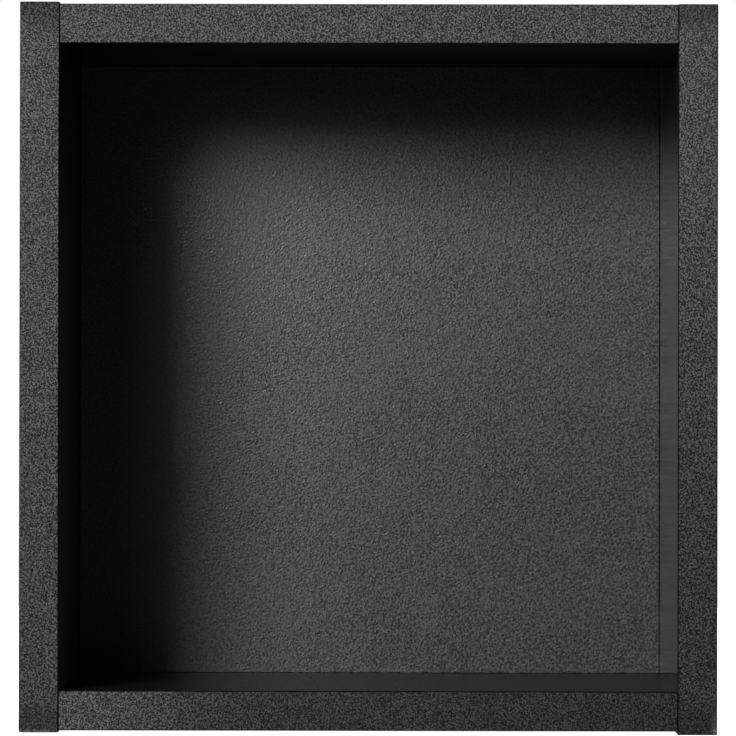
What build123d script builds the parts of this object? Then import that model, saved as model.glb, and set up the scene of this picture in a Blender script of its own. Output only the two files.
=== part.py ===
from build123d import *
import os

# An open wall shelf for a bathroom: a box of black melamine-faced boards with a let-in back board.
# Millimetres. X runs to the right as seen from the front, Y from the front to the wall, Z up.
# The origin is the middle of the rear face, which lies on the wall.

# The box
WIDTH = 280.0  # over the two side boards
HEIGHT = 291.4  # over the top and bottom boards
DEPTH = 200.0  # from the front edging to the wall
BOARD = 16.0  # thickness of every board
RIGHT_SIDE_DROP = 0.6  # the right side board was fixed this much too low
BACK_SIDE_GAP = 0.3  # between the back board and each side board
BACK_END_GAP = 0.2  # between the back board and the top and bottom boards

# Edging strips, glued to every edge of the box that shows
EDGING = 0.8
EDGING_SQUARE = 0.2  # of its thickness, left square beside the board: the rest is rounded

# Wooden dowels
DOWEL_D = 8.0
DOWEL_LENGTH = 30.0
DOWEL_FLUTES = 9
DOWEL_FLUTE_DEPTH = 0.4
DOWEL_FIT = 0.05  # all round a dowel in its bore
DOWEL_END_ROOM = 1.0  # free at each end of a dowel
DOWEL_SKIN = 4.0  # left of a side board behind a dowel's bore
DOWEL_INSET = 60.0  # from the wall to the corner dowels
BACK_DOWEL_INSET = 80.0  # from the top and bottom boards to the back dowels

# Cam bolts, screwed into the side boards
BOLT_D = 5.0
BOLT_THREAD_LENGTH = 11.0  # in the side board
BOLT_THREAD_FIT = 0.05
BOLT_END_ROOM = 1.0  # free past the end of the thread
BOLT_HEAD_D = 7.0
BOLT_HEAD_LENGTH = 2.6
BOLT_BORE_D = 8.0  # in the end of the top or bottom board

# Cam locks, let into the top board from above and into the bottom board from below
CAM_INSET = 60.0  # from the front to the cam's axis
CAM_REACH = 24.0  # from the end of the board to the cam's axis
CAM_WALL = 1.0  # where it is thinnest, behind the hollow
CAM_FIT = 0.1  # all round a cam in its bore
CAM_FACE_DEPTH = 0.2  # from the face of the board down to the cam
CAM_PLATE = 0.8  # under the room for the bolt's head
CAM_UNDER_ROOM = 0.3  # between the cam and the floor of its bore
CAM_HEAD_ROOM = 0.2  # round the bolt's head inside the cam
CAM_HOLLOW_ROOM = 1.6  # round the bolt's head, in the plane of the cam
CAM_THROW = 1.4  # the hollow lies this far off the cam's axis, away from the bolt
CAM_SWEEP = 110.0  # degrees from the way in for the bolt's head to the locked place
CAM_DRIVE_LENGTH = 8.0
CAM_DRIVE_WIDTH = 1.8
CAM_DRIVE_DEPTH = 2.0
COVER_LIP = 1.5  # of a cover disc, past the bore that it hides
COVER = 0.5

# Keyhole hanger plates, let flush into the rear of the back board
HANGER_INSET = 34.0  # from the inside of a side board to the keyhole
HANGER_DROP = 38.0  # from the underside of the top board to the middle of the plate
PLATE = 1.2
PLATE_LENGTH = 46.0
PLATE_WIDTH = 18.0
PLATE_FIT = 0.15  # all round a plate in its recess
PLATE_SCREW_INSET = 5.5  # from the end of a plate to its screw
KEY_ENTRY_D = 10.0
KEY_SLOT = 5.0
KEY_TRAVEL = 9.0  # from the entry up to the end of the slot
KEY_ROOM = 1.5  # round the head of the wall screw, behind the plate
KEY_ROOM_DEPTH = 9.0  # from the wall

# Countersunk screws that hold the plates, their heads as deep as a plate is thick
SCREW_D = 3.5
SCREW_SKIN = 3.0  # left of the back board in front of the screw
SCREW_FIT = 0.05  # all round a screw in its bore
SCREW_SLOT_LENGTH = 3.4
SCREW_SLOT_WIDTH = 0.8
SCREW_SLOT_DEPTH = 0.9

# Places worked out from the sizes above
INNER_WIDTH = WIDTH - 2 * BOARD
INNER_HEIGHT = HEIGHT - 2 * BOARD
CORE_DEPTH = DEPTH - 2 * EDGING
MID_DEPTH = -DEPTH / 2
SIDE_X = (WIDTH - BOARD) / 2
SHELF_Z = (HEIGHT - BOARD) / 2
BACK_Y = -BOARD / 2
DOWEL_Y = -DOWEL_INSET
CAM_Y = CAM_INSET - DEPTH
DOWEL_IN_SIDE = BOARD - DOWEL_SKIN - DOWEL_END_ROOM
HEAD_ROOM_HALF = BOLT_HEAD_D / 2 + CAM_HEAD_ROOM
CAM_BOTTOM = -HEAD_ROOM_HALF - CAM_PLATE
CAM_TOP = BOARD / 2 - CAM_FACE_DEPTH
CAM_HOLLOW_R = BOLT_HEAD_D / 2 + CAM_HOLLOW_ROOM
CAM_R = CAM_THROW + CAM_HOLLOW_R + CAM_WALL
CAM_BORE_R = CAM_R + CAM_FIT
HEAD_CATCH = (CAM_HOLLOW_R**2 - (BOLT_HEAD_D / 2) ** 2) ** 0.5
HEAD_UNDERSIDE = CAM_REACH + CAM_THROW - HEAD_CATCH + CAM_FIT
SCREW_LENGTH = BOARD - SCREW_SKIN

LOW_CENTRE = (Align.CENTER, Align.CENTER, Align.MIN)

# Each fastener at a joint has a local frame on the inside of its side board, half way through the thickness
# of the board that is joined to it: X runs into the end of that board and, at a corner, Z to its outer face.
LEFT = -INNER_WIDTH / 2
RIGHT = INNER_WIDTH / 2
UPRIGHT_TURN = {LEFT: (0, 0, 0), RIGHT: (0, 0, 180)}
UPSIDE_DOWN_TURN = {LEFT: (180, 0, 0), RIGHT: (0, 180, 0)}


def corner_frames(y, x_places=(LEFT, RIGHT), z_places=(SHELF_Z, -SHELF_Z)):
    """The frames of the fasteners at a given depth in the corners of the box."""
    turns = {SHELF_Z: UPRIGHT_TURN, -SHELF_Z: UPSIDE_DOWN_TURN}
    return [Location((x, y, z), turns[z][x]) for z in z_places for x in x_places]


def back_frames(x_places=(LEFT, RIGHT)):
    """The frames of the dowels at the ends of the back board."""
    z_places = (INNER_HEIGHT / 2 - BACK_DOWEL_INSET, BACK_DOWEL_INSET - INNER_HEIGHT / 2)
    return [Location((x, BACK_Y, z), UPRIGHT_TURN[x]) for z in z_places for x in x_places]


# Each hanger plate has a local frame at its middle, on the wall, as seen from behind the shelf: X runs to
# the right, Y up and Z out of the rear.
HANGER_X = INNER_WIDTH / 2 - HANGER_INSET
HANGER_Z = INNER_HEIGHT / 2 - HANGER_DROP
FROM_BEHIND = Rot(-90, 0, 0) * Rot(0, 0, 180)
HANGERS = [Pos(-HANGER_X, 0, HANGER_Z) * FROM_BEHIND, Pos(HANGER_X, 0, HANGER_Z) * FROM_BEHIND]
PLATE_SCREW_PLACES = [
    Pos(0, PLATE_LENGTH / 2 - PLATE_SCREW_INSET, 0),
    Pos(0, PLATE_SCREW_INSET - PLATE_LENGTH / 2, 0),
]


def rod_along_x(diameter, start, end):
    """A round rod on the X axis between two places."""
    rod = Cylinder(diameter / 2, end - start, align=LOW_CENTRE)
    return Pos(start, 0, 0) * Rot(0, 90, 0) * rod


def turned(profile_points):
    """A turned solid: the closed outline, given as radius and height, is revolved about Z."""
    outline = Polyline(*[(radius, 0, height) for radius, height in profile_points], close=True)
    return revolve(make_face(outline), Axis.Z)


def group(solids):
    """Like solids in one piece, kept as separate solids."""
    return Compound(children=solids)


def bored(board, bores):
    """A board with every one of the bores taken out of it."""
    for bore in bores:
        board = board - bore
    return board


# Dowels

def dowel():
    """One fluted wooden dowel, its origin where it crosses from the side board into the other board."""
    ridge = DOWEL_D / 2
    radii = [ridge, ridge - DOWEL_FLUTE_DEPTH] * DOWEL_FLUTES
    step = 360 / len(radii)
    points = [Vector(radius, 0).rotate(Axis.Z, number * step) for number, radius in enumerate(radii)]
    star = make_face(Polyline(*points, close=True))
    return Pos(-DOWEL_IN_SIDE, 0, 0) * Rot(0, 90, 0) * extrude(star, DOWEL_LENGTH)


def dowel_bore():
    """The bore for one dowel, through both boards that it joins."""
    start = -DOWEL_IN_SIDE - DOWEL_END_ROOM
    end = DOWEL_LENGTH - DOWEL_IN_SIDE + DOWEL_END_ROOM
    return rod_along_x(DOWEL_D + 2 * DOWEL_FIT, start, end)


# Cam bolts and cam locks, in the local frame of a fastener

def cam_bolt():
    """A bolt without its thread: the shank, and the head that the cam pulls on."""
    head = rod_along_x(BOLT_HEAD_D, HEAD_UNDERSIDE, HEAD_UNDERSIDE + BOLT_HEAD_LENGTH)
    return rod_along_x(BOLT_D, -BOLT_THREAD_LENGTH, HEAD_UNDERSIDE) + head


def cam_lock():
    """A cast drum with an off-centre hollow, a way in for the bolt's head and a slot for its shank."""
    drum = Pos(CAM_REACH, 0, CAM_BOTTOM) * Cylinder(CAM_R, CAM_TOP - CAM_BOTTOM, align=LOW_CENTRE)
    hollow = Pos(CAM_REACH + CAM_THROW, 0, 0) * Cylinder(CAM_HOLLOW_R, 2 * HEAD_ROOM_HALF)
    outwards = (Align.MAX, Align.CENTER, Align.CENTER)
    way_in = Box(2 * CAM_R, 2 * HEAD_ROOM_HALF, 2 * HEAD_ROOM_HALF, align=outwards)
    way_in = Pos(CAM_REACH, 0, 0) * Rot(0, 0, -CAM_SWEEP) * way_in
    slot_height = BOLT_D + 2 * CAM_HEAD_ROOM
    shank_way = Pos(CAM_REACH, 0, 0) * Box(2 * CAM_R, slot_height, slot_height, align=outwards)
    slot_profile = Plane.XZ * Pos(CAM_R, 0) * Rectangle(CAM_R, slot_height)
    slot_sweep = revolve(slot_profile, Axis.Z, revolution_arc=CAM_SWEEP)
    shank_slot = Pos(CAM_REACH, 0, 0) * Rot(0, 0, 180 - CAM_SWEEP) * slot_sweep
    arm = Box(CAM_DRIVE_LENGTH, CAM_DRIVE_WIDTH, 2 * CAM_DRIVE_DEPTH)
    drive = Pos(CAM_REACH, 0, CAM_TOP) * (arm + Rot(0, 0, 90) * arm)
    return drum - hollow - way_in - shank_way - shank_slot - drive


def cam_cover():
    """A thin stuck-on disc that hides a cam lock."""
    return Pos(CAM_REACH, 0, BOARD / 2) * Cylinder(CAM_BORE_R + COVER_LIP, COVER, align=LOW_CENTRE)


def thread_bore():
    """The bore for a bolt's thread, in a side board."""
    return rod_along_x(BOLT_D + 2 * BOLT_THREAD_FIT, -BOLT_THREAD_LENGTH - BOLT_END_ROOM, 0)


def cam_bore():
    """The bores for a bolt's shank and for its cam, in the end of the top or bottom board."""
    floor = CAM_BOTTOM - CAM_UNDER_ROOM
    well = Pos(CAM_REACH, 0, floor) * Cylinder(CAM_BORE_R, BOARD / 2 - floor, align=LOW_CENTRE)
    return rod_along_x(BOLT_BORE_D, 0, CAM_REACH) + well


def at(frames, shape):
    """Copies of a shape, one in each of the given local frames."""
    return [frame * shape for frame in frames]


# Hangers, in the local frame of a hanger plate

def screw():
    """A countersunk screw without its thread and point, its head level with the wall."""
    arm = Box(SCREW_SLOT_LENGTH, SCREW_SLOT_WIDTH, 2 * SCREW_SLOT_DEPTH)
    return countersunk(0) - arm - Rot(0, 0, 90) * arm


def screw_bore():
    """The countersunk hole that a screw fits, through the plate and into the back board."""
    return countersunk(SCREW_FIT)


def countersunk(fit):
    """A countersunk head and shank, larger all round by a given fit."""
    radius = SCREW_D / 2 + fit
    length = SCREW_LENGTH + fit
    return turned([(0, 0), (radius + PLATE, 0), (radius, -PLATE), (radius, -length), (0, -length)])


def keyhole():
    """The outline of the keyhole: the round entry below, with the slot going up from it."""
    entry = Pos(0, -KEY_TRAVEL / 2) * Circle(KEY_ENTRY_D / 2)
    slot = Rectangle(KEY_SLOT, KEY_TRAVEL)
    slot_end = Pos(0, KEY_TRAVEL / 2) * Circle(KEY_SLOT / 2)
    return entry + slot + slot_end


def hanger_plate():
    """A steel plate with round ends, a keyhole and two countersunk holes."""
    outline = Rot(0, 0, 90) * SlotOverall(PLATE_LENGTH, PLATE_WIDTH)
    plate = extrude(outline - keyhole(), -PLATE)
    return bored(plate, at(PLATE_SCREW_PLACES, screw_bore()))


def hanger_recess():
    """What is cut from the back board for one plate: its recess, the room behind it and the screw bores."""
    recess_length = PLATE_LENGTH + 2 * PLATE_FIT
    recess_width = PLATE_WIDTH + 2 * PLATE_FIT
    room_width = KEY_ENTRY_D + 2 * KEY_ROOM
    recess = extrude(Rot(0, 0, 90) * SlotOverall(recess_length, recess_width), -PLATE)
    room = extrude(Rot(0, 0, 90) * SlotOverall(KEY_TRAVEL + room_width, room_width), -KEY_ROOM_DEPTH)
    return [recess + room] + at(PLATE_SCREW_PLACES, screw_bore())


# Boards and their edging

def side_board(x, inside, drop):
    """One side board without its edging: as tall as the box, and bored for what is fixed to it."""
    bores = at(corner_frames(DOWEL_Y, x_places=[inside]) + back_frames(x_places=[inside]), dowel_bore())
    bores = bores + at(corner_frames(CAM_Y, x_places=[inside]), thread_bore())
    return bored(Pos(x, MID_DEPTH, -drop) * Box(BOARD, CORE_DEPTH, HEIGHT), bores)


def shelf_board(z):
    """The top or bottom board without its edging, between the side boards."""
    bores = at(corner_frames(DOWEL_Y, z_places=[z]), dowel_bore())
    bores = bores + at(corner_frames(CAM_Y, z_places=[z]), cam_bore())
    return bored(Pos(0, MID_DEPTH, z) * Box(INNER_WIDTH, CORE_DEPTH, BOARD), bores)


def back_board():
    """The back board, let in between the other four and level with their rear edges."""
    width = INNER_WIDTH - 2 * BACK_SIDE_GAP
    height = INNER_HEIGHT - 2 * BACK_END_GAP
    bores = at(back_frames(), dowel_bore())
    for cut in hanger_recess():
        bores = bores + at(HANGERS, cut)
    return bored(Pos(0, BACK_Y, 0) * Box(width, BOARD, height), bores)


def strip(length, round_ends=False):
    """An edging strip along Z, glued on at Y = 0, with the edges of its outer face rounded."""
    band = Box(BOARD, EDGING, length, align=(Align.CENTER, Align.MAX, Align.CENTER))
    edges = band.faces().sort_by(Axis.Y)[0].edges()
    if not round_ends:
        edges = edges.filter_by(Axis.Z)
    return fillet(edges, EDGING - EDGING_SQUARE)


FRONT_JOINT = EDGING - DEPTH
FACING_REAR = Rot(0, 0, 180)
FACING_UP = Rot(-90, 0, 0)
FACING_DOWN = Rot(90, 0, 0)
LYING = Rot(0, 90, 0)


def side_edging(name, x, drop):
    """The four strips of one side board. The end strips cover the ends of the front and rear ones."""
    upright = strip(HEIGHT)
    end = strip(DEPTH, round_ends=True)
    return {
        name + "_front_edging": Pos(x, FRONT_JOINT, -drop) * upright,
        name + "_rear_edging": Pos(x, -EDGING, -drop) * FACING_REAR * upright,
        name + "_top_edging": Pos(x, MID_DEPTH, HEIGHT / 2 - drop) * FACING_UP * end,
        name + "_bottom_edging": Pos(x, MID_DEPTH, -HEIGHT / 2 - drop) * FACING_DOWN * end,
    }


def shelf_edging(name, z):
    """The front and rear strips of the top or bottom board."""
    lying = LYING * strip(INNER_WIDTH)
    return {
        name + "_front_edging": Pos(0, FRONT_JOINT, z) * lying,
        name + "_rear_edging": Pos(0, -EDGING, z) * FACING_REAR * lying,
    }


def shelf():
    """Every piece of the shelf, by name."""
    plate_screws = [hanger * place for hanger in HANGERS for place in PLATE_SCREW_PLACES]
    pieces = {
        "left_side_board": side_board(-SIDE_X, LEFT, 0),
        "right_side_board": side_board(SIDE_X, RIGHT, RIGHT_SIDE_DROP),
        "top_board": shelf_board(SHELF_Z),
        "bottom_board": shelf_board(-SHELF_Z),
        "back_board": back_board(),
        "corner_dowels": group(at(corner_frames(DOWEL_Y), dowel())),
        "back_dowels": group(at(back_frames(), dowel())),
        "cam_bolts": group(at(corner_frames(CAM_Y), cam_bolt())),
        "cam_locks": group(at(corner_frames(CAM_Y), cam_lock())),
        "cam_covers": group(at(corner_frames(CAM_Y), cam_cover())),
        "hanger_plates": group(at(HANGERS, hanger_plate())),
        "hanger_screws": group(at(plate_screws, screw())),
    }
    pieces.update(side_edging("left_side", -SIDE_X, 0))
    pieces.update(side_edging("right_side", SIDE_X, RIGHT_SIDE_DROP))
    pieces.update(shelf_edging("top", SHELF_Z))
    pieces.update(shelf_edging("bottom", -SHELF_Z))
    return pieces


os.makedirs("parts", exist_ok=True)
for node, solid in shelf().items():
    export_step(solid, f"parts/{node}.step")
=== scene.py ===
import math

import bpy
from mathutils import Matrix, Vector


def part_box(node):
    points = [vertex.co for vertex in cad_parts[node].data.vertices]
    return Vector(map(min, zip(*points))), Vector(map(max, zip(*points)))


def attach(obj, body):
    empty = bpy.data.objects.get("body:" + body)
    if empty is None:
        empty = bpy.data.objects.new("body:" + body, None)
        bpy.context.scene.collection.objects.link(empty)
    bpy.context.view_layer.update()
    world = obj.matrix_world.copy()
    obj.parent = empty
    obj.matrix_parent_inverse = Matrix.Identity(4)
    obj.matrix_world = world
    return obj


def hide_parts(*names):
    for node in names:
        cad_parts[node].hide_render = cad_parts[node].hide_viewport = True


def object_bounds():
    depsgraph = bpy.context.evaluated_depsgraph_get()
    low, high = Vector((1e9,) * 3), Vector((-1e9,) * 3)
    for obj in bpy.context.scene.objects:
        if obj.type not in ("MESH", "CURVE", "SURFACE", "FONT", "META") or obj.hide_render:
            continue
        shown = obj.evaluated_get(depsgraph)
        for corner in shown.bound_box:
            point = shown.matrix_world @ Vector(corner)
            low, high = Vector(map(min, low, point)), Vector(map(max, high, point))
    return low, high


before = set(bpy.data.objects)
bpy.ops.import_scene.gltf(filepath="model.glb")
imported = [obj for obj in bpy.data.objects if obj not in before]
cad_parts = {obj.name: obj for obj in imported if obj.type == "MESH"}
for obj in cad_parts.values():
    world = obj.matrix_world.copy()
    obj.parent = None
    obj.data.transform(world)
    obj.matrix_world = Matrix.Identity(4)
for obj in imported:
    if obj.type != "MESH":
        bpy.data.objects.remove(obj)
CAD_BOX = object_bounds()

bl_info = {
    "name": "Open Bathroom Shelf",
    "version": (1, 0, 0),
    "blender": (4, 5, 0),
    "location": "View3D > Sidebar > Shelf",
    "description": "Finishes, fittings and studio of an open black shelf for a bathroom wall",
    "category": "Object",
}

MM = 0.001
TURN = 2 * math.pi
SIDE_BOARDS = ("left_side_board", "right_side_board")
SHELF_BOARDS = ("top_board", "bottom_board")
# Dull black that painted shade is mixed to, in the gaps and on edges turned from the light
DULL_BLACK = (0.003, 0.003, 0.003, 1)


# The sizes and colours that a user would change

class ShelfFinish(bpy.types.PropertyGroup):
    """The black pearl finish of the boards and of their edging."""

    board_colour: bpy.props.FloatVectorProperty(
        name="Board colour", description="Melamine face of the boards", subtype="COLOR",
        default=(0.012, 0.012, 0.0123), min=0, max=1)
    board_roughness: bpy.props.FloatProperty(
        name="Board roughness", description="Satin gloss of the melamine", subtype="FACTOR",
        default=0.40, min=0, max=1)
    board_grain: bpy.props.FloatProperty(
        name="Board grain", description="Width of one pearl of the pressed texture", subtype="DISTANCE",
        unit="LENGTH", default=0.85 * MM, min=0.1 * MM, precision=5)
    board_relief: bpy.props.FloatProperty(
        name="Board relief", description="Depth of the pressed texture", subtype="DISTANCE",
        unit="LENGTH", default=0.16 * MM, min=0, precision=6)
    board_speckle: bpy.props.FloatProperty(
        name="Board speckle", description="How far the gloss of the melamine changes from dot to dot",
        subtype="FACTOR", default=0.14, min=0, max=1)
    board_sparkle: bpy.props.FloatProperty(
        name="Board sparkle", description="How bright the raised dots of the melamine are",
        subtype="FACTOR", default=0.43, min=0, max=1)
    left_glance: bpy.props.FloatProperty(
        name="Left glance", description="Roughness of the left board seen along its face",
        subtype="FACTOR", default=0.45, min=0, max=1)
    right_glance: bpy.props.FloatProperty(
        name="Right glance", description="Roughness of the right board seen along its face",
        subtype="FACTOR", default=0.10, min=0, max=1)
    shelf_glance: bpy.props.FloatProperty(
        name="Shelf glance", description="Roughness of the other boards seen along their faces",
        subtype="FACTOR", default=0.26, min=0, max=1)
    shelf_dulling: bpy.props.FloatProperty(
        name="Shelf dulling", description="Sheen that the top and bottom lose, seen along their faces",
        subtype="FACTOR", default=0.36, min=0, max=1)
    edging_colour: bpy.props.FloatVectorProperty(
        name="Edging colour", description="Plastic edging strips", subtype="COLOR",
        default=(0.009, 0.009, 0.0093), min=0, max=1)
    edging_roughness: bpy.props.FloatProperty(
        name="Edging roughness", description="Satin gloss of the edging", subtype="FACTOR",
        default=0.60, min=0, max=1)
    edging_grain: bpy.props.FloatProperty(
        name="Edging grain", description="Width of one pearl on the edging", subtype="DISTANCE",
        unit="LENGTH", default=0.58 * MM, min=0.1 * MM, precision=5)
    edging_relief: bpy.props.FloatProperty(
        name="Edging relief", description="Depth of the texture on the edging", subtype="DISTANCE",
        unit="LENGTH", default=0.16 * MM, min=0, precision=6)
    edging_speckle: bpy.props.FloatProperty(
        name="Edging speckle", description="How far the gloss of the edging changes from dot to dot",
        subtype="FACTOR", default=0.22, min=0, max=1)
    edging_sparkle: bpy.props.FloatProperty(
        name="Edging sparkle", description="How bright the raised dots of the edging are",
        subtype="FACTOR", default=1.0, min=0, max=1)
    # Also the colour of the painted highlight along the foot of the left edging.
    wear_and_highlight_colour: bpy.props.FloatVectorProperty(
        name="Worn colour", description="Scuffs at the feet of the sides, and the mark on the back",
        subtype="COLOR", default=(0.22, 0.22, 0.225), min=0, max=1)


class ShelfFittings(bpy.types.PropertyGroup):
    """The dowels, bolts and screws inside the boards."""

    dowel_length: bpy.props.FloatProperty(
        name="Dowel length", description="Length of a wooden dowel", subtype="DISTANCE", unit="LENGTH",
        default=30 * MM, precision=4)
    dowel_diameter: bpy.props.FloatProperty(
        name="Dowel diameter", description="Over the ridges of a dowel", subtype="DISTANCE",
        unit="LENGTH", default=8 * MM, precision=4)
    back_dowel_height: bpy.props.FloatProperty(
        name="Back dowel height",
        description="Of the axes of the back's dowels, above and below the middle",
        subtype="DISTANCE", unit="LENGTH", default=49.7 * MM, precision=5)
    dowel_flute: bpy.props.FloatProperty(
        name="Dowel flute", description="Depth of the flutes", subtype="DISTANCE", unit="LENGTH",
        default=0.4 * MM, precision=5)
    bolt_diameter: bpy.props.FloatProperty(
        name="Bolt diameter", description="Shank of a cam bolt", subtype="DISTANCE", unit="LENGTH",
        default=5 * MM, precision=4)
    bolt_length: bpy.props.FloatProperty(
        name="Bolt length", description="Length of a cam bolt with its thread and head",
        subtype="DISTANCE", unit="LENGTH", default=35.39 * MM, precision=5)
    bolt_thread_length: bpy.props.FloatProperty(
        name="Bolt thread", description="Length of thread in the side board", subtype="DISTANCE",
        unit="LENGTH", default=11 * MM, precision=4)
    bolt_head_diameter: bpy.props.FloatProperty(
        name="Bolt head", description="Diameter of the head that the cam pulls on", subtype="DISTANCE",
        unit="LENGTH", default=7 * MM, precision=4)
    bolt_head_length: bpy.props.FloatProperty(
        name="Bolt head length", description="Length of the head of a cam bolt", subtype="DISTANCE",
        unit="LENGTH", default=2.6 * MM, precision=4)
    screw_diameter: bpy.props.FloatProperty(
        name="Screw diameter", description="Over the thread of a plate screw", subtype="DISTANCE",
        unit="LENGTH", default=3.5 * MM, precision=4)
    plate_thickness: bpy.props.FloatProperty(
        name="Plate thickness", description="Sheet of the hanger plates, and depth of a screw's head",
        subtype="DISTANCE", unit="LENGTH", default=1.2 * MM, precision=4)
    screw_pitch: bpy.props.FloatProperty(
        name="Thread pitch", description="Rise of the threads in one turn", subtype="DISTANCE",
        unit="LENGTH", default=1.4 * MM, precision=4)
    steel_colour: bpy.props.FloatVectorProperty(
        name="Steel colour", description="Zinc-plated steel", subtype="COLOR",
        default=(0.62, 0.62, 0.63), min=0, max=1)
    zinc_colour: bpy.props.FloatVectorProperty(
        name="Zinc colour", description="Cast zinc of the cam locks", subtype="COLOR",
        default=(0.52, 0.53, 0.55), min=0, max=1)
    beech_colour: bpy.props.FloatVectorProperty(
        name="Beech colour", description="Wood of the dowels", subtype="COLOR",
        default=(0.62, 0.44, 0.27), min=0, max=1)


class ShelfStage(bpy.types.PropertyGroup):
    """The camera and the studio light."""

    camera_place: bpy.props.FloatVectorProperty(
        name="Camera place", description="Where the camera stands", subtype="TRANSLATION", unit="LENGTH",
        default=(0.00717, -2.9316, -0.01368), precision=5)
    camera_pan: bpy.props.FloatProperty(
        name="Camera pan", description="How far the camera is aimed to the left", subtype="ANGLE",
        default=math.radians(0.1544))
    camera_tilt: bpy.props.FloatProperty(
        name="Camera tilt", description="How far the camera is aimed up", subtype="ANGLE",
        default=math.radians(0.2818))
    camera_roll: bpy.props.FloatProperty(
        name="Camera roll", description="How far the camera is turned about its own axis",
        subtype="ANGLE", default=math.radians(0.1084))
    camera_lens: bpy.props.FloatProperty(
        name="Lens", description="Focal length for the sensor's width", subtype="DISTANCE_CAMERA",
        default=333.4)
    key_power: bpy.props.FloatProperty(
        name="Key power", description="Power of the soft box at the upper left", subtype="POWER",
        default=19.0, min=0)
    key_size: bpy.props.FloatVectorProperty(
        name="Key size", description="Width and height of the soft box", size=2, subtype="XYZ",
        unit="LENGTH", default=(0.36, 0.33))
    key_place: bpy.props.FloatVectorProperty(
        name="Key place", description="Where the soft box hangs", subtype="TRANSLATION", unit="LENGTH",
        default=(-0.530, -1.35, 0.432))
    key_halo: bpy.props.FloatProperty(
        name="Key halo", description="Share of the key's power in a wider and dimmer box round it",
        subtype="FACTOR", default=0.14, min=0, max=1)
    fill_power: bpy.props.FloatProperty(
        name="Fill power", description="Power of each lamp over, beside and behind the shelf",
        subtype="POWER", default=16.0, min=0)


# Node trees

class Wire:
    """One output socket of a node tree. Sums with wires add Math nodes to the tree."""

    def __init__(self, tree, socket=None):
        self.tree = tree
        self.socket = socket

    def node(self, kind, settings=None, values=None, output=0):
        """A wire from a new node, made with its settings first and then its sockets' values or wires."""
        made = self.tree.nodes.new(kind)
        for name, value in (settings or {}).items():
            setattr(made, name, value)
        for name, value in (values or {}).items():
            if isinstance(value, Wire):
                self.tree.links.new(value.socket, made.inputs[name])
            else:
                made.inputs[name].default_value = value
        if not made.outputs:
            return Wire(self.tree)
        return Wire(self.tree, made.outputs[output])

    def output(self, name):
        """A wire from another output of the same node."""
        return Wire(self.tree, self.socket.node.outputs[name])

    def maths(self, operation, *values, clamp=False):
        """A Math node on up to three values."""
        settings = {"operation": operation, "use_clamp": clamp}
        return self.node("ShaderNodeMath", settings, dict(enumerate(values)))

    def __add__(self, other):
        return self.maths("ADD", self, other)

    def __radd__(self, other):
        return self.maths("ADD", other, self)

    def __sub__(self, other):
        return self.maths("SUBTRACT", self, other)

    def __rsub__(self, other):
        return self.maths("SUBTRACT", other, self)

    def __mul__(self, other):
        return self.maths("MULTIPLY", self, other)

    def __rmul__(self, other):
        return self.maths("MULTIPLY", other, self)

    def __truediv__(self, other):
        return self.maths("DIVIDE", self, other)

    def __gt__(self, other):
        return self.maths("GREATER_THAN", self, other)

    def __lt__(self, other):
        return self.maths("LESS_THAN", self, other)

    def __abs__(self):
        return self.maths("ABSOLUTE", self)

    def least(self, other):
        return self.maths("MINIMUM", self, other)

    def most(self, other):
        return self.maths("MAXIMUM", self, other)

    def within(self):
        """The value, held between 0 and 1."""
        return self.maths("ADD", self, 0.0, clamp=True)

    def ramp(self, start, end):
        """0 up to start, 1 from end, and smooth between the two."""
        settings = {"interpolation_type": "SMOOTHSTEP"}
        return self.node("ShaderNodeMapRange", settings, {"Value": self, 1: start, 2: end})

    def blend(self, low, high):
        """A colour between two others, by this value."""
        return self.node("ShaderNodeMix", {"data_type": "RGBA"}, {0: self, 6: low, 7: high}, output=2)

    def noise(self, grain, detail=2.0):
        """Noise at these coordinates, with grains of a given size."""
        values = {"Vector": self, "Scale": 1 / grain, "Detail": detail}
        return self.node("ShaderNodeTexNoise", None, values)

    def moved(self, scale=(1, 1, 1), turn=(0, 0, 0)):
        """These coordinates, turned and stretched."""
        return self.node("ShaderNodeMapping", None, {"Vector": self, "Rotation": turn, "Scale": scale})

    def bump(self, distance):
        """A normal from this height."""
        return self.node("ShaderNodeBump", None, {"Height": self, "Distance": distance, "Strength": 1.0})


def rgba(colour):
    return (colour[0], colour[1], colour[2], 1.0)


def shade(colour, factor):
    """A colour made lighter or darker."""
    return tuple(part * factor for part in colour[:3]) + (1.0,)


def new_material(name):
    """An empty material, a wire to start its tree from and its object coordinates."""
    material = bpy.data.materials.new(name)
    material.use_nodes = True
    material.node_tree.nodes.clear()
    wire = Wire(material.node_tree)
    return material, wire, wire.node("ShaderNodeTexCoord", output="Object")


def finish_material(wire, surface, dark=None):
    """Ends a material in a principled shader with the given sockets, mixed to dull black where dark:
    painted shade, and on the top and bottom sheen lost at a glance.
    """
    shader = wire.node("ShaderNodeBsdfPrincipled", None, surface)
    if dark:
        black = wire.node("ShaderNodeBsdfDiffuse", None, {"Color": DULL_BLACK})
        shader = wire.node("ShaderNodeMixShader", None, {0: dark, 1: shader, 2: black})
    wire.node("ShaderNodeOutputMaterial", None, {"Surface": shader})


def axes(coords):
    """Wires from the three parts of a vector."""
    x = coords.node("ShaderNodeSeparateXYZ", None, {"Vector": coords})
    return x, x.output("Y"), x.output("Z")


# Black pearl finish

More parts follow.
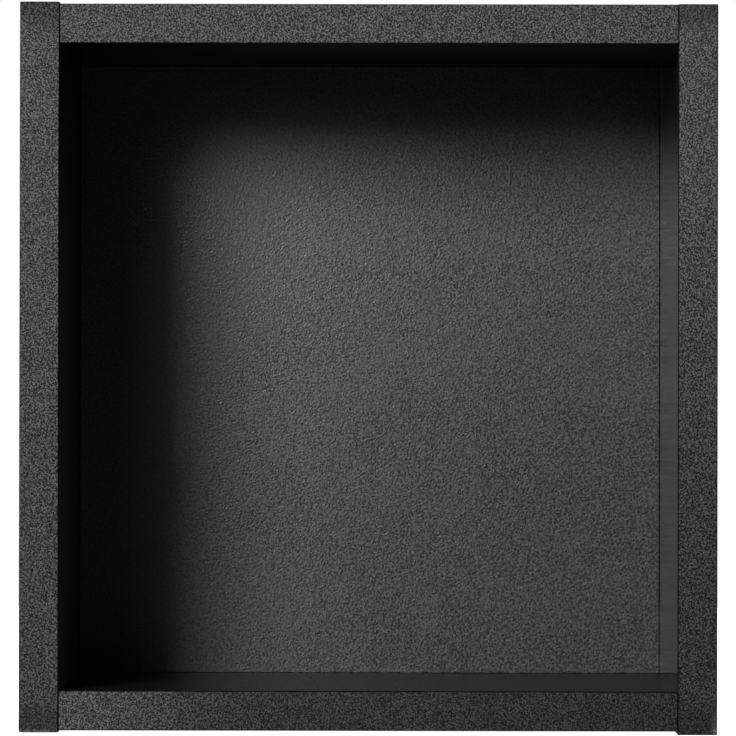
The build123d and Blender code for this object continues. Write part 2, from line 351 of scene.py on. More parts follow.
MELAMINE_IOR = 1.65
GLANCING = (0.82, 0.94)  # how far edge-on a face is seen where its gloss starts and ends to change
CLOUD_GLOSS = 0.04  # how far the roughness drifts over a board or a strip
BOARD_CLOUD = 30 * MM
MELAMINE_SKIN = 0.12 * MM  # what is cut deeper shows chipboard
BLACK_RIM = 1.0 * MM  # at the edges of a board, where no chipboard shows
CHIP_SIZE = 1.6 * MM
CHIP_COLOURS = ((0.30, 0.20, 0.11, 1), (0.56, 0.42, 0.27, 1))
MARK_WIDTH = 1.9 * MM
MARK_HEIGHT = 0.6 * MM
RAGGED_GRAIN = 1.2 * MM
RAGGED_DEPTH = 0.3 * MM
RIM_FACE = 0.05 * MM  # what is this near the edge of a board belongs to its edge face
GAP_START = 0.1 * MM  # behind the front of the back board
GAP_REACH = 0.5 * MM  # past the edges of the back board
LIT_RIGHT_GAP = (70 * MM, 105 * MM)  # heights between which the painted shade in the gap at the right comes back, in the shadow of the top board
LIT_BOTTOM_GAP = (-110 * MM, -70 * MM)  # places along X between which the painted shade in the gap below lifts, out of the shadow of the left board


def pearl_height(coords, grain):
    """The pressed pearl texture: rounded grains of uneven size, run together in places."""
    fine = coords.noise(grain, detail=1.0)
    coarse = coords.noise(grain * 2.3, detail=1.0)
    return fine * 0.8 + coarse * 0.4


def speckle(coords, grain, spread=0.18):
    """Light and dull dots among the pearls, from 0 to 1."""
    dots = coords.moved(turn=(0.6, 0.4, 0.9)).noise(grain * 1.1, detail=1.0)
    return dots.ramp(0.5 - spread, 0.5 + spread)


def chipboard(coords):
    """The colours of pressed wood chips."""
    cells = {"Vector": coords, "Scale": 1 / CHIP_SIZE}
    chips = coords.node("ShaderNodeTexVoronoi", None, cells, output="Color")
    tone = axes(chips)[0]
    return tone.blend(*CHIP_COLOURS)


def board_material(name, node, thickness_axis, finish, glance_roughness, dulling=0.0):
    """Melamine on both faces of one board, and bare chipboard wherever it is cut into."""
    material, wire, coords = new_material(name)
    lowest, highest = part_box(node)
    middle = (lowest + highest) / 2
    half = (highest - lowest) / 2
    place = axes(coords)
    offsets = [abs(part - centre) for part, centre in zip(place, middle)]
    to_edge = [reach - offset for offset, reach in zip(offsets, half)]
    across = [number for number in range(3) if number != thickness_axis]
    rim = to_edge[across[0]].least(to_edge[across[1]])
    bare = (to_edge[thickness_axis] > MELAMINE_SKIN) * (rim > BLACK_RIM)
    glance = wire.node("ShaderNodeLayerWeight", output="Facing").ramp(*GLANCING)

    height = pearl_height(coords, finish.board_grain)
    speck = speckle(coords, finish.board_grain)
    cloud = coords.noise(BOARD_CLOUD).ramp(0.3, 0.7)
    satin = finish.board_roughness + (speck - 0.5) * finish.board_speckle + (cloud - 0.5) * CLOUD_GLOSS
    roughness = satin + glance * (glance_roughness - satin) + bare * 0.4
    colour = speck.blend(shade(finish.board_colour, 0.3), shade(finish.board_colour, 2.2))
    colour = bare.blend(colour, chipboard(coords))
    if node == "back_board":
        mark = corner_mark(place)
        colour = mark.blend(colour, shade(finish.wear_and_highlight_colour, 0.7))
        # Painted shade along the back board's edge, kept off the grey mark.
        dark = painted_shade_on_rim(coords, place, rim) * (1 - mark)
    else:
        # Painted shade: the faces in the gap round the back board turn dull black, less where light
        # reaches; the top and bottom also lose sheen seen along their faces.
        dark = (beside_back(place) * (1 - gap_sheen(node, place))).most(glance * dulling)
    normal = (height * (1 - glance * 0.9)).bump(finish.board_relief)
    sparkle = speck * speck * (1 - bare) * (1 - glance) * finish.board_sparkle
    surface = {"Base Color": colour, "Roughness": roughness, "IOR": MELAMINE_IOR, "Normal": normal,
               "Coat Weight": sparkle, "Coat Roughness": 0.5, "Coat IOR": 1.6}
    finish_material(wire, surface, dark)
    return material


def corner_mark(place):
    """1 on the small grey mark at the lower left corner of the back board."""
    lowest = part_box("back_board")[0]
    return (place[0] < lowest.x + MARK_WIDTH) * (place[2] < lowest.z + MARK_HEIGHT)


def painted_shade_on_rim(coords, place, rim):
    """Painted shade on the back board's edge: half black along a ragged strip in front, and black on its
    edge faces in the gaps at the left and above.
    """
    lowest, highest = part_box("back_board")
    ragged = coords.noise(RAGGED_GRAIN, detail=3.0).ramp(0.5, 0.8)
    shaded = (place[0] < highest.x - BLACK_RIM) * (place[2] > lowest.z + BLACK_RIM)
    return ((rim < ragged * RAGGED_DEPTH) * 0.5).most((rim < RIM_FACE) * shaded)


def beside_back(place):
    """1 on the faces in the gap round the back board, which are painted dark as shade."""
    lowest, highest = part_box("back_board")
    x, y, z = place
    within_width = abs(x) < highest.x + GAP_REACH
    within_height = abs(z) < highest.z + GAP_REACH
    return (y > lowest.y + GAP_START) * within_width * within_height


def gap_sheen(node, place):
    """How much of the painted shade in the gap beside a board is lifted where light reaches it, out of
    the shadow of the top and left boards.
    """
    if node == "right_side_board":
        return (1 - place[2].ramp(*LIT_RIGHT_GAP)) * 0.8
    if node == "bottom_board":
        return place[0].ramp(*LIT_BOTTOM_GAP) * 0.7
    return 0.0


# Edging, its wear, and the shade, sheen and highlight painted on it

EDGING_IOR = 1.27
EDGING_CLOUD = 25 * MM
BOARD_THICKNESS = 16 * MM
SIDE_EDGE = 16.2 * MM  # the front edging of a side board lies within this of its outer face
BOTTOM_EDGE = 17 * MM  # the bottom board's front edging lies within this of the foot
ARRIS_WIDTH = 0.5 * MM
ARRIS_DEPTH = 2 * MM
BUFFED = (15 * MM, 5 * MM)  # from the end of a side board, where buffing starts and where it is full
DULL_BOTTOM = (-120 * MM, -60 * MM)  # along X, as above
# Where a sheen standing in for light is painted on the edging
PAINTED_SHEEN_SIDE = (-120 * MM, 130 * MM)  # up Z
PAINTED_SHEEN_TOP = (-130 * MM, 130 * MM)  # along X
PAINTED_SHEEN_BOTTOM = (-110 * MM, -30 * MM)  # along X, where it fades and where it ends
FRONT_DEPTH = 3 * MM  # scuffs and chips stay within this of the front
SCUFF_WIDTH = (1.0 * MM, 3.0 * MM)  # full up to the first, none from the second
SCUFF_HEIGHT = (6 * MM, 10 * MM)
CHIPPED_WIDTH = 1.5 * MM
CHIPPED_HEIGHT = 3 * MM
LEFT_FOOT_HIGHLIGHT = 1.7 * MM  # height of the painted highlight along the foot of the left edging


def edging_material(name, finish):
    """Textured plastic edging, smoother and duller where the ends of the side boards were buffed."""
    material, wire, coords = new_material(name)
    x, y, z = axes(coords)
    height = pearl_height(coords, finish.edging_grain)
    speck = speckle(coords, finish.edging_grain, spread=0.14)
    half_height = (CAD_BOX[1].z - CAD_BOX[0].z) / 2
    on_side = abs(x) > CAD_BOX[1].x - SIDE_EDGE
    start, full = BUFFED
    buffed = abs(z).ramp(half_height - start, half_height - full) * on_side
    on_bottom = (z < BOTTOM_EDGE - half_height) * (1 - on_side)
    dull = on_bottom * x.ramp(*DULL_BOTTOM)
    cloud = coords.noise(EDGING_CLOUD).ramp(0.3, 0.7)
    colour = speck.blend(shade(finish.edging_colour, 0.2), shade(finish.edging_colour, 2.6))
    # Worn pale at the right foot; a painted highlight at the foot on the left.
    colour = wear_and_highlight_ends(coords, x, y, z).blend(colour, rgba(finish.wear_and_highlight_colour))
    grainy = (speck - 0.5) * finish.edging_speckle * (1 - buffed * 0.6)
    drift = (cloud - 0.5) * CLOUD_GLOSS
    roughness = finish.edging_roughness + grainy + drift + (buffed + dull) * 0.08
    # Painted sheen: the coat is brighter up the right side, along the top and at the bottom's left end,
    # in place of light.
    painted_sheen = painted_sheen_mask(x, z, on_side)
    shine = (speck * speck * (1 - painted_sheen * 0.2) + painted_sheen * 0.1) * (0.47 + 0.53 * painted_sheen)
    sparkle = shine * (1 - buffed * 0.5) * (1 - dull * 0.3) * finish.edging_sparkle
    normal = (height * (1 - buffed * 0.5)).bump(finish.edging_relief)
    surface = {"Base Color": colour, "Roughness": roughness, "IOR": EDGING_IOR, "Normal": normal,
               "Coat Weight": sparkle, "Coat Roughness": 0.6, "Coat IOR": 2.3}
    # Painted shade on the rounded inner edges of the front edging.
    finish_material(wire, surface, inner_arris(x, y, z, on_side) * 0.8)
    return material


def painted_sheen_mask(x, z, on_side):
    """Painted sheen on the edging, standing in for light: brighter up the right side, along the top and
    at the bottom's left end.
    """
    right_side = on_side * (x > 0.0) * z.ramp(*PAINTED_SHEEN_SIDE)
    top = (z > 0.0) * x.ramp(*PAINTED_SHEEN_TOP) * 0.6
    bottom = (z < 0.0) * (1 - x.ramp(*PAINTED_SHEEN_BOTTOM)) * 0.66
    return right_side + (1 - on_side) * (top + bottom)


def inner_arris(x, y, z, on_side):
    """1 on the rounded inner edges of the front edging, which turn away from the light and are painted
    dark there as shade.
    """
    at_front = y < CAD_BOX[0].y + ARRIS_DEPTH
    side = abs(x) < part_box("right_side_front_edging")[0].x + ARRIS_WIDTH
    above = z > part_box("bottom_front_edging")[1].z - ARRIS_WIDTH
    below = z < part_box("top_front_edging")[0].z + ARRIS_WIDTH
    return at_front * (on_side * side + (1 - on_side) * above * below)


def wear_and_highlight_ends(coords, x, y, z):
    """How far the front edging is pale: worn at the outer foot on the right, and a painted highlight
    along the foot on the left.
    """
    at_front = y < CAD_BOX[0].y + FRONT_DEPTH
    ragged = coords.noise(0.9 * MM, detail=2.0)
    from_right = CAD_BOX[1].x - x
    from_foot = z - CAD_BOX[0].z
    scuff = (1 - from_right.ramp(*SCUFF_WIDTH)) * (1 - from_foot.ramp(*SCUFF_HEIGHT)) * 0.2
    chips = (from_right < CHIPPED_WIDTH) * (from_foot < CHIPPED_HEIGHT) * ragged.ramp(0.4, 0.6)
    dashes = coords.moved(scale=(1, 0.2, 0.2)).noise(1.6 * MM).ramp(0.4, 0.55)
    # A painted highlight along the foot of the left edging, in dashes.
    left_foot = (x < CAD_BOX[0].x + BOARD_THICKNESS) * (from_foot < LEFT_FOOT_HIGHLIGHT) * dashes
    return at_front * scuff.most(chips).most(left_foot * 0.4)


def cover_material(name, finish):
    """Smooth stuck-on film of the cover discs."""
    material, wire, coords = new_material(name)
    fine = coords.noise(0.5 * MM)
    colour = fine.blend(shade(finish.edging_colour, 0.9), shade(finish.edging_colour, 1.5))
    roughness = 0.40 + fine * 0.1
    finish_material(wire, {"Base Color": colour, "Roughness": roughness, "Normal": fine.bump(0.01 * MM)})
    return material


# Metal and wood of the fittings

def steel_material(name, colour):
    """Zinc-plated steel with a faint rolled grain."""
    material, wire, coords = new_material(name)
    rolled = coords.moved(scale=(1, 1, 0.08)).noise(0.25 * MM, detail=3.0)
    bloom = coords.noise(6 * MM, detail=3.0)
    tone = bloom.ramp(0.35, 0.7).blend(shade(colour, 0.86), rgba(colour))
    roughness = 0.26 + rolled * 0.12 + bloom * 0.08
    finish_material(wire, {"Base Color": tone, "Metallic": 1.0, "Roughness": roughness,
                           "Normal": rolled.bump(0.006 * MM)})
    return material


def screw_material(name, colour, face):
    """Duller plated steel, with painted shade in the recess of the head."""
    material, wire, coords = new_material(name)
    skin = coords.noise(0.5 * MM, detail=3.0)
    tone = skin.ramp(0.3, 0.7).blend(shade(colour, 0.55), shade(colour, 0.75))
    # Painted shade: the recess of the head is darkened.
    sunk = (face - axes(coords)[1]).ramp(0.08 * MM, 0.3 * MM)
    tone = sunk.blend(tone, shade(colour, 0.12))
    roughness = 0.34 + skin * 0.15 + sunk * 0.2
    finish_material(wire, {"Base Color": tone, "Metallic": 1.0, "Roughness": roughness,
                           "Normal": skin.bump(0.01 * MM)})
    return material


def zinc_material(name, colour):
    """Dull die-cast zinc with an uneven skin."""
    material, wire, coords = new_material(name)
    skin = coords.noise(0.7 * MM, detail=4.0)
    tone = skin.ramp(0.3, 0.7).blend(shade(colour, 0.8), rgba(colour))
    roughness = 0.42 + skin * 0.2
    finish_material(wire, {"Base Color": tone, "Metallic": 1.0, "Roughness": roughness,
                           "Normal": skin.bump(0.03 * MM)})
    return material


def beech_material(name, colour):
    """Beech with its short dark flecks along the grain."""
    material, wire, coords = new_material(name)
    grain = coords.moved(scale=(0.06, 1, 1)).noise(0.8 * MM, detail=4.0)
    fleck = coords.moved(scale=(0.25, 1, 1)).noise(0.5 * MM).ramp(0.62, 0.7)
    tone = grain.ramp(0.3, 0.7).blend(shade(colour, 0.82), rgba(colour))
    tone = (fleck * 0.6).blend(tone, shade(colour, 0.45))
    roughness = 0.62 + grain * 0.2
    finish_material(wire, {"Base Color": tone, "Roughness": roughness, "Normal": grain.bump(0.03 * MM)})
    return material


def give(material, nodes):
    """Puts one material on CAD nodes."""
    for name in nodes:
        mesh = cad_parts[name].data
        mesh.materials.clear()
        mesh.materials.append(material)


# Turned pieces, made by geometry nodes

DOWEL_MESH = (28, 72)  # rows along a piece, and sides round it
BOLT_MESH = (150, 40)
SCREW_MESH = (96, 40)
DOWEL_FLUTES = 9.0
DOWEL_TAPER = (1.2 * MM, 0.9 * MM)  # length from the end, and depth
BOLT_POINT = 1.5 * MM
BOLT_EASING = (0.8 * MM, 0.6 * MM)  # of the head: length from the end, and depth
SCREW_POINT = 3.5 * MM
SCREW_EASING = (0.2 * MM, 0.35 * MM)
SCREW_RUN_IN = (0.6 * MM, 1.6 * MM)  # behind the head, where the thread starts and where it is full
ROW_SLACK = 0.02 * MM  # the row at the start of a bolt's head belongs to it
MERGE_DISTANCE = 0.001 * MM
THREAD_ROOT = 0.74  # radius at the bottom of a thread, as a share of that at its crest
SLOT = (1.6 * MM, 0.75 * MM, 3.4 * MM)  # in a screw's head: twice the depth, the width and the length


def turned_tree(name, rows, sides, sizes, radius_of, recess_of=None):
    """A tree that sets a turned piece on every point. Its axis starts at the point and runs along X."""
    tree = bpy.data.node_groups.new(name, "GeometryNodeTree")
    tree.interface.new_socket("Geometry", in_out="INPUT", socket_type="NodeSocketGeometry")
    tree.interface.new_socket("Material", in_out="INPUT", socket_type="NodeSocketMaterial")
    for label in sizes:
        tree.interface.new_socket(label, in_out="INPUT", socket_type="NodeSocketFloat")
    tree.interface.new_socket("Geometry", in_out="OUTPUT", socket_type="NodeSocketGeometry")
    wire = Wire(tree)
    points = wire.node("NodeGroupInput")
    size = {label: points.output(label) for label in sizes}

    sheet = {"Size X": 1.0, "Size Y": 1.0, "Vertices X": rows, "Vertices Y": sides + 1}
    grid = wire.node("GeometryNodeMeshGrid", None, sheet)
    place = axes(wire.node("GeometryNodeInputPosition"))
    along = place[0] + 0.5
    angle = (place[1] + 0.5) * -TURN
    step = 1 / (rows - 1)
    reach = ((along - step) / (1 - 2 * step)).within() * size["Length"]
    closing = (along.least(1 - along) / step).within()
    radius = radius_of(reach, angle, size) * closing
    across = {"X": reach, "Y": radius * angle.maths("COSINE", angle),
              "Z": radius * angle.maths("SINE", angle)}
    shape = wire.node("GeometryNodeSetPosition", None,
                      {"Geometry": grid, "Position": wire.node("ShaderNodeCombineXYZ", None, across)})
    seam = {"Geometry": shape, "Distance": MERGE_DISTANCE}
    shape = wire.node("GeometryNodeMergeByDistance", None, seam)
    if recess_of:
        settings = {"operation": "DIFFERENCE", "solver": "EXACT"}
        shapes = {"Mesh 1": shape, "Mesh 2": recess_of(wire)}
        shape = wire.node("GeometryNodeMeshBoolean", settings, shapes)

    turn = wire.node("GeometryNodeInputNamedAttribute", {"data_type": "FLOAT"}, {"Name": "turn"})
    facing = wire.node("ShaderNodeCombineXYZ", None, {"Z": turn})
    facing = wire.node("FunctionNodeEulerToRotation", None, {"Euler": facing})
    placed = wire.node("GeometryNodeInstanceOnPoints", None,
                       {"Points": points.output("Geometry"), "Instance": shape, "Rotation": facing})
    whole = wire.node("GeometryNodeRealizeInstances", None, {"Geometry": placed})
    whole = wire.node("GeometryNodeSetMaterial", None,
                      {"Geometry": whole, "Material": points.output("Material")})
    wire.node("NodeGroupOutput", None, {"Geometry": whole})
    return tree


def turned_piece(name, tree, places, material, sizes, nodes):
    """One object of like turned pieces, each at a point and a turn about Z, in place of CAD nodes."""
    mesh = bpy.data.meshes.new(name)
    mesh.from_pydata([point for point, turn in places], [], [])
    turns = mesh.attributes.new("turn", "FLOAT", "POINT")
    turns.data.foreach_set("value", [turn for point, turn in places])
    piece = bpy.data.objects.new(name, mesh)
    bpy.context.scene.collection.objects.link(piece)
    modifier = piece.modifiers.new("turned", "NODES")
    modifier.node_group = tree
    values = dict(sizes, Material=material)
    for item in tree.interface.items_tree:
        if item.in_out == "INPUT" and item.name in values:
            modifier[item.identifier] = values[item.name]
    made = bpy.data.meshes.new_from_object(piece.evaluated_get(bpy.context.evaluated_depsgraph_get()))
    if not made.polygons:
        raise RuntimeError(name + " came out empty")
    piece.modifiers.remove(modifier)
    piece.data = made
    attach(piece, "root")
    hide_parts(*nodes)


def thread(reach, angle, size, radius):
    """A radius with a sharp thread round it."""
    turns = reach / size["Pitch"] + angle / TURN
    ridge = 1 - abs(turns.maths("FRACT", turns) - 0.5) * 4
    return radius * (THREAD_ROOT + (1 - THREAD_ROOT) * ridge.within())


def dowel_radius(reach, angle, size):
    """A fluted peg with tapered ends."""
    nearest_end = reach.least(size["Length"] - reach)
    taper_length, taper_depth = DOWEL_TAPER
    taper = (1 - nearest_end / taper_length).within() * taper_depth
    wave = 0.5 - 0.5 * angle.maths("COSINE", angle * DOWEL_FLUTES)
    return size["Radius"] - size["Flute"] * wave - taper


def bolt_radius(reach, angle, size):
    """A threaded end, a plain shank and a head with an eased end."""
    threaded = reach < size["Thread"]
    shank = size["Radius"]
    point = (reach / BOLT_POINT).within() * 0.4 + 0.6
    body = threaded * thread(reach, angle, size, shank) * point + (1 - threaded) * shank
    on_head = reach > size["Length"] - size["Head"] - ROW_SLACK
    eased_length, eased_depth = BOLT_EASING
    easing = (1 - (size["Length"] - reach) / eased_length).within() * eased_depth
    return body + on_head * (size["Head radius"] - shank - easing)


def screw_radius(reach, angle, size):
    """A countersunk head, a threaded shank and a point."""
    head = (size["Head"] - reach).most(0.0)
    point = ((size["Length"] - reach) / SCREW_POINT).within()
    plain = size["Radius"] * 0.8
    threaded = (reach - size["Head"]).ramp(*SCREW_RUN_IN)
    shank = threaded * thread(reach, angle, size, size["Radius"]) + (1 - threaded) * plain
    in_head = reach < size["Head"]
    eased_length, eased_depth = SCREW_EASING
    easing = (1 - reach / eased_length).within() * eased_depth
    return (in_head * (size["Radius"] + head - easing) + (1 - in_head) * shank) * point


def cross_recess(wire):
    """The two crossed slots of a screw's head."""
    depth, width, length = SLOT
    first = wire.node("GeometryNodeMeshCube", None, {"Size": (depth, width, length)})
    second = wire.node("GeometryNodeMeshCube", None, {"Size": (depth, length, width)})
    settings = {"operation": "UNION", "solver": "EXACT"}
    both = wire.node("GeometryNodeMeshBoolean", settings, {"Mesh 2": first})
    wire.tree.links.new(second.socket, both.socket.node.inputs["Mesh 2"])
    return both


# Operators

class SHELF_OT_boards(bpy.types.Operator):
    """Give the five boards their black pearl melamine"""
    bl_idname = "shelf.boards"
    bl_label = "Boards"

    def execute(self, context):
        finish = context.scene.shelf_finish
        for node, glance in zip(SIDE_BOARDS, (finish.left_glance, finish.right_glance)):
            give(board_material(node + "_melamine", node, 0, finish, glance), [node])
        glance = finish.shelf_glance
        dulling = finish.shelf_dulling
        for node in SHELF_BOARDS:
            give(board_material(node + "_melamine", node, 2, finish, glance, dulling), [node])
        give(board_material("back_board_melamine", "back_board", 1, finish, glance), ["back_board"])
        return {"FINISHED"}


class SHELF_OT_edging(bpy.types.Operator):
    """Give the edging strips their black textured plastic"""
    bl_idname = "shelf.edging"
    bl_label = "Edging"

    def execute(self, context):
        finish = context.scene.shelf_finish
        strips = [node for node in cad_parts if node.endswith("_edging")]
        if not strips:
            raise RuntimeError("the frame has no edging")
        give(edging_material("pearl_edging", finish), strips)
        give(cover_material("cover_film", finish), ["cam_covers"])
        return {"FINISHED"}


class SHELF_OT_dowels(bpy.types.Operator):
    """Put fluted dowels in the joints of the boards"""
    bl_idname = "shelf.dowels"
    bl_label = "Dowels"

    def execute(self, context):
        fittings = context.scene.shelf_fittings
        tree = turned_tree("fluted_dowel", *DOWEL_MESH, ["Length", "Radius", "Flute"], dowel_radius)
        material = beech_material("beech", fittings.beech_colour)
        sizes = {"Length": fittings.dowel_length, "Radius": fittings.dowel_diameter / 2,
                 "Flute": fittings.dowel_flute}
        back_heights = (fittings.back_dowel_height, -fittings.back_dowel_height)
        for node, heights in (("corner_dowels", shelf_heights()), ("back_dowels", back_heights)):
            places = joint_places(node, heights)
            turned_piece(node + "_turned", tree, places, material, sizes, [node])
        return {"FINISHED"}


def shelf_heights():
    """The heights of the middles of the top and bottom boards."""
    boxes = [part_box(board) for board in SHELF_BOARDS]
    return [(lowest.z + highest.z) / 2 for lowest, highest in boxes]


def joint_places(node, heights):
    """The outer end and the turn of each fitting of a node that lies along X across the side joints."""
    lowest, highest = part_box(node)
    depth = (lowest.y + highest.y) / 2
    ends = ((lowest.x, 0.0), (highest.x, math.pi))
    return [((end, depth, height), turn) for height in heights for end, turn in ends]


class SHELF_OT_cam_fittings(bpy.types.Operator):
    """Put the cam bolts in place and give the cam locks their zinc"""
    bl_idname = "shelf.cam_fittings"
    bl_label = "Cam fittings"

    def execute(self, context):
        fittings = context.scene.shelf_fittings
        labels = ["Length", "Radius", "Thread", "Pitch", "Head", "Head radius"]
        tree = turned_tree("cam_bolt", *BOLT_MESH, labels, bolt_radius)
        sizes = {"Length": fittings.bolt_length, "Radius": fittings.bolt_diameter / 2,
                 "Thread": fittings.bolt_thread_length, "Pitch": fittings.screw_pitch,
                 "Head": fittings.bolt_head_length, "Head radius": fittings.bolt_head_diameter / 2}
        places = joint_places("cam_bolts", shelf_heights())
        material = steel_material("zinc_plated_bolts", fittings.steel_colour)
        turned_piece("cam_bolts_turned", tree, places, material, sizes, ["cam_bolts"])
        give(zinc_material("cast_zinc", fittings.zinc_colour), ["cam_locks"])
        return {"FINISHED"}


class SHELF_OT_hangers(bpy.types.Operator):
    """Give the hanger plates their plated steel and put their screws in"""
    bl_idname = "shelf.hangers"
    bl_label = "Hangers"

    def execute(self, context):
        fittings = context.scene.shelf_fittings
        give(steel_material("zinc_plated_steel", fittings.steel_colour), ["hanger_plates"])
        labels = ["Length", "Radius", "Head", "Pitch"]
        tree = turned_tree("plate_screw", *SCREW_MESH, labels, screw_radius, cross_recess)
        lowest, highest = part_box("hanger_screws")
        head_radius = fittings.screw_diameter / 2 + fittings.plate_thickness
        columns = (lowest.x + head_radius, highest.x - head_radius)
        heights = (lowest.z + head_radius, highest.z - head_radius)
        places = [((x, highest.y, z), -math.pi / 2) for x in columns for z in heights]
        sizes = {"Length": highest.y - lowest.y, "Radius": fittings.screw_diameter / 2,
                 "Head": fittings.plate_thickness, "Pitch": fittings.screw_pitch}
        material = screw_material("plate_screw_steel", fittings.steel_colour, highest.y)
        turned_piece("hanger_screws_turned", tree, places, material, sizes, ["hanger_screws"])
        return {"FINISHED"}


# Studio

FLOOR_REACH = 1.5
FLOOR_DROP = 0.2 * MM  # under the shelf, so that no faces of the two meet
FLOOR_COLOUR = (0.6, 0.6, 0.6, 1)
FLOOR_BOUNCE = (0.015, 0.015, 0.015, 1)  # its colour for the light that it throws back at the shelf
FLOOR_GLOW = 0.5  # what the camera sees added to it, which leaves the shadow in place
FLOOR_SHEEN = (0.85, 0.94)  # how far edge-on it is seen where it turns white
FLOOR_FADE = (0.15, 0.9)  # squared distances in metres over which it turns white
MIRRORED_GLOW = 0.15  # what reflections see of the floor's glow and of the world
WORLD_BEHIND = (0.0, 0.3)  # how far backward a direction points where the glow starts and is full
WORLD_STRAIGHT = (0.75, 0.98)  # and where it weakens
WORLD_LEAST = 0.03
SENSOR_WIDTH = 36  # millimetres, as the lens
CLIP_END = 50
HALO_SPREAD = 1.7
FILL_LAMPS = (  # name, place and width
    ("over", (0, 0.9, 1.9), 1.8),
    ("beside_left", (-1.4, 0.6, 1.9), 1.6),
    ("beside_right", (1.4, 0.6, 1.9), 1.6),
    ("behind", (1.0, 1.3, 2.0), 1.6),
)


class SHELF_OT_stage(bpy.types.Operator):
    """Set up the pale floor, the studio light and the camera"""
    bl_idname = "shelf.stage"
    bl_label = "Stage"

    def execute(self, context):
        stage = context.scene.shelf_stage
        context.scene.view_settings.view_transform = "Standard"
        make_floor()
        make_world(context.scene)
        make_lamps(stage)
        make_camera(context.scene, stage)
        return {"FINISHED"}


def seen_directly(wire):
    """Two wires: 1 for what the camera sees, and 1 for what a reflection or a clear material shows."""
    camera_ray = wire.node("ShaderNodeLightPath", output="Is Camera Ray")
    mirrored = camera_ray.output("Is Glossy Ray").most(camera_ray.output("Is Transmission Ray"))
    return camera_ray, mirrored


def make_floor():
    """A pale floor under the shelf: white where it is lit, shaded by the shelf, clear from below."""
    material, wire, coords = new_material("pale_floor")
    camera_ray, mirrored = seen_directly(wire)
    x, y, _ = axes(coords)
    sheen = wire.node("ShaderNodeLayerWeight", output="Facing").ramp(*FLOOR_SHEEN)
    far = (x * x + y * y).ramp(*FLOOR_FADE)
    glow = camera_ray * (FLOOR_GLOW + sheen.most(far) * (1 - FLOOR_GLOW))
    glow = glow.most(mirrored * MIRRORED_GLOW)
    tone = camera_ray.blend(FLOOR_BOUNCE, FLOOR_COLOUR)
    lit = wire.node("ShaderNodeBsdfDiffuse", None, {"Color": tone})
    white = wire.node("ShaderNodeEmission", None, {"Color": (1, 1, 1, 1), "Strength": glow})
    from_above = wire.node("ShaderNodeAddShader", None, {0: lit, 1: white})
    clear = wire.node("ShaderNodeBsdfTransparent")
    below = wire.node("ShaderNodeNewGeometry", output="Backfacing")
    surface = wire.node("ShaderNodeMixShader", None, {0: below, 1: from_above, 2: clear})
    wire.node("ShaderNodeOutputMaterial", None, {"Surface": surface})
    level = CAD_BOX[0].z - FLOOR_DROP
    signs = ((-1, -1), (1, -1), (1, 1), (-1, 1))
    mesh = bpy.data.meshes.new("floor")
    mesh.from_pydata([(a * FLOOR_REACH, b * FLOOR_REACH, level) for a, b in signs], [], [(0, 1, 2, 3)])
    mesh.materials.append(material)
    floor = bpy.data.objects.new("floor", mesh)
    bpy.context.scene.collection.objects.link(floor)


def make_world(scene):
    """White to the camera. Reflections see a dim glow behind the shelf, weaker straight behind it."""
    scene.world = bpy.data.worlds.new("studio")
    scene.world.use_nodes = True
    scene.world.node_tree.nodes.clear()
    wire = Wire(scene.world.node_tree)
    camera_ray, mirrored = seen_directly(wire)
    backward = axes(wire.node("ShaderNodeTexCoord", output="Generated"))[1]
    behind = backward.ramp(*WORLD_BEHIND) - backward.ramp(*WORLD_STRAIGHT) * 0.6
    strength = camera_ray.most(mirrored * behind * MIRRORED_GLOW).most(WORLD_LEAST)
    light = wire.node("ShaderNodeBackground", None, {"Color": (1, 1, 1, 1), "Strength": strength})
    wire.node("ShaderNodeOutputWorld", None, {"Surface": light})


def soft_box(name, place, target, width, height, power):
    """An area lamp aimed at a point."""
    data = bpy.data.lights.new(name, "AREA")
    data.shape = "ELLIPSE"
    data.size = width
    data.size_y = height
    data.energy = power
    lamp = bpy.data.objects.new(name, data)
    lamp.location = place
    lamp.rotation_euler = (Vector(target) - Vector(place)).to_track_quat("-Z", "Y").to_euler()
    lamp.visible_camera = False
    bpy.context.scene.collection.objects.link(lamp)


def make_lamps(stage):
    """The soft box at the upper left, and lamps that light the other sides but not the front."""
    centre = (CAD_BOX[0] + CAD_BOX[1]) / 2
    width, height = stage.key_size
    halo_power = stage.key_power * stage.key_halo
    soft_box("key", stage.key_place, centre, width, height, stage.key_power - halo_power)
    soft_box("key_halo", stage.key_place, centre, width * HALO_SPREAD, height * HALO_SPREAD, halo_power)
    for name, place, size in FILL_LAMPS:
        soft_box(name, place, centre, size, size, stage.fill_power)


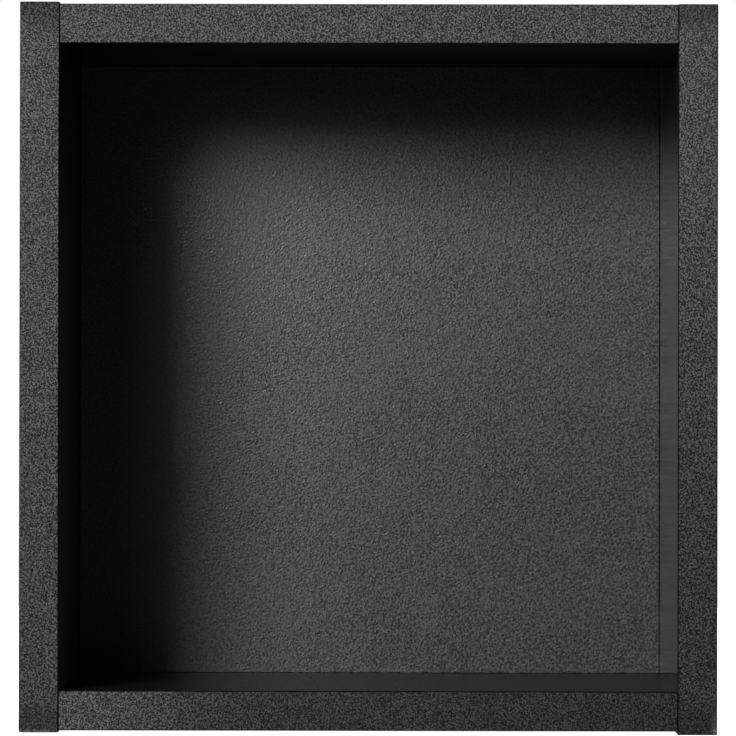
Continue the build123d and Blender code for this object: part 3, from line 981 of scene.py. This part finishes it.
def make_camera(scene, stage):
    """The camera, square to the front from a long way off."""
    data = bpy.data.cameras.new("camera")
    data.lens = stage.camera_lens
    data.sensor_width = SENSOR_WIDTH
    data.clip_end = CLIP_END
    camera = bpy.data.objects.new("camera", data)
    pan = Matrix.Rotation(stage.camera_pan, 4, "Z")
    tilt = Matrix.Rotation(math.pi / 2 + stage.camera_tilt, 4, "X")
    roll = Matrix.Rotation(stage.camera_roll, 4, "Z")
    camera.matrix_world = Matrix.Translation(stage.camera_place) @ pan @ tilt @ roll
    scene.collection.objects.link(camera)
    scene.camera = camera


class SHELF_PT_sidebar(bpy.types.Panel):
    """The shelf's pieces and settings"""
    bl_label = "Bathroom shelf"
    bl_idname = "SHELF_PT_sidebar"
    bl_space_type = "VIEW_3D"
    bl_region_type = "UI"
    bl_category = "Shelf"

    def draw(self, context):
        for operator in OPERATORS:
            self.layout.operator(operator.bl_idname)
        scene = context.scene
        for group in (scene.shelf_finish, scene.shelf_fittings, scene.shelf_stage):
            for name in group.bl_rna.properties.keys():
                if name not in ("rna_type", "name"):
                    self.layout.prop(group, name)


OPERATORS = (SHELF_OT_boards, SHELF_OT_edging, SHELF_OT_dowels, SHELF_OT_cam_fittings, SHELF_OT_hangers,
             SHELF_OT_stage)
CLASSES = (ShelfFinish, ShelfFittings, ShelfStage) + OPERATORS + (SHELF_PT_sidebar,)


def register():
    for cls in CLASSES:
        bpy.utils.register_class(cls)
    bpy.types.Scene.shelf_finish = bpy.props.PointerProperty(type=ShelfFinish)
    bpy.types.Scene.shelf_fittings = bpy.props.PointerProperty(type=ShelfFittings)
    bpy.types.Scene.shelf_stage = bpy.props.PointerProperty(type=ShelfStage)


def unregister():
    del bpy.types.Scene.shelf_stage
    del bpy.types.Scene.shelf_fittings
    del bpy.types.Scene.shelf_finish
    for cls in reversed(CLASSES):
        bpy.utils.unregister_class(cls)


def main():
    register()
    bpy.ops.shelf.boards()
    bpy.ops.shelf.edging()
    bpy.ops.shelf.dowels()
    bpy.ops.shelf.cam_fittings()
    bpy.ops.shelf.hangers()
    bpy.ops.shelf.stage()


if __name__ == "__main__":
    main()
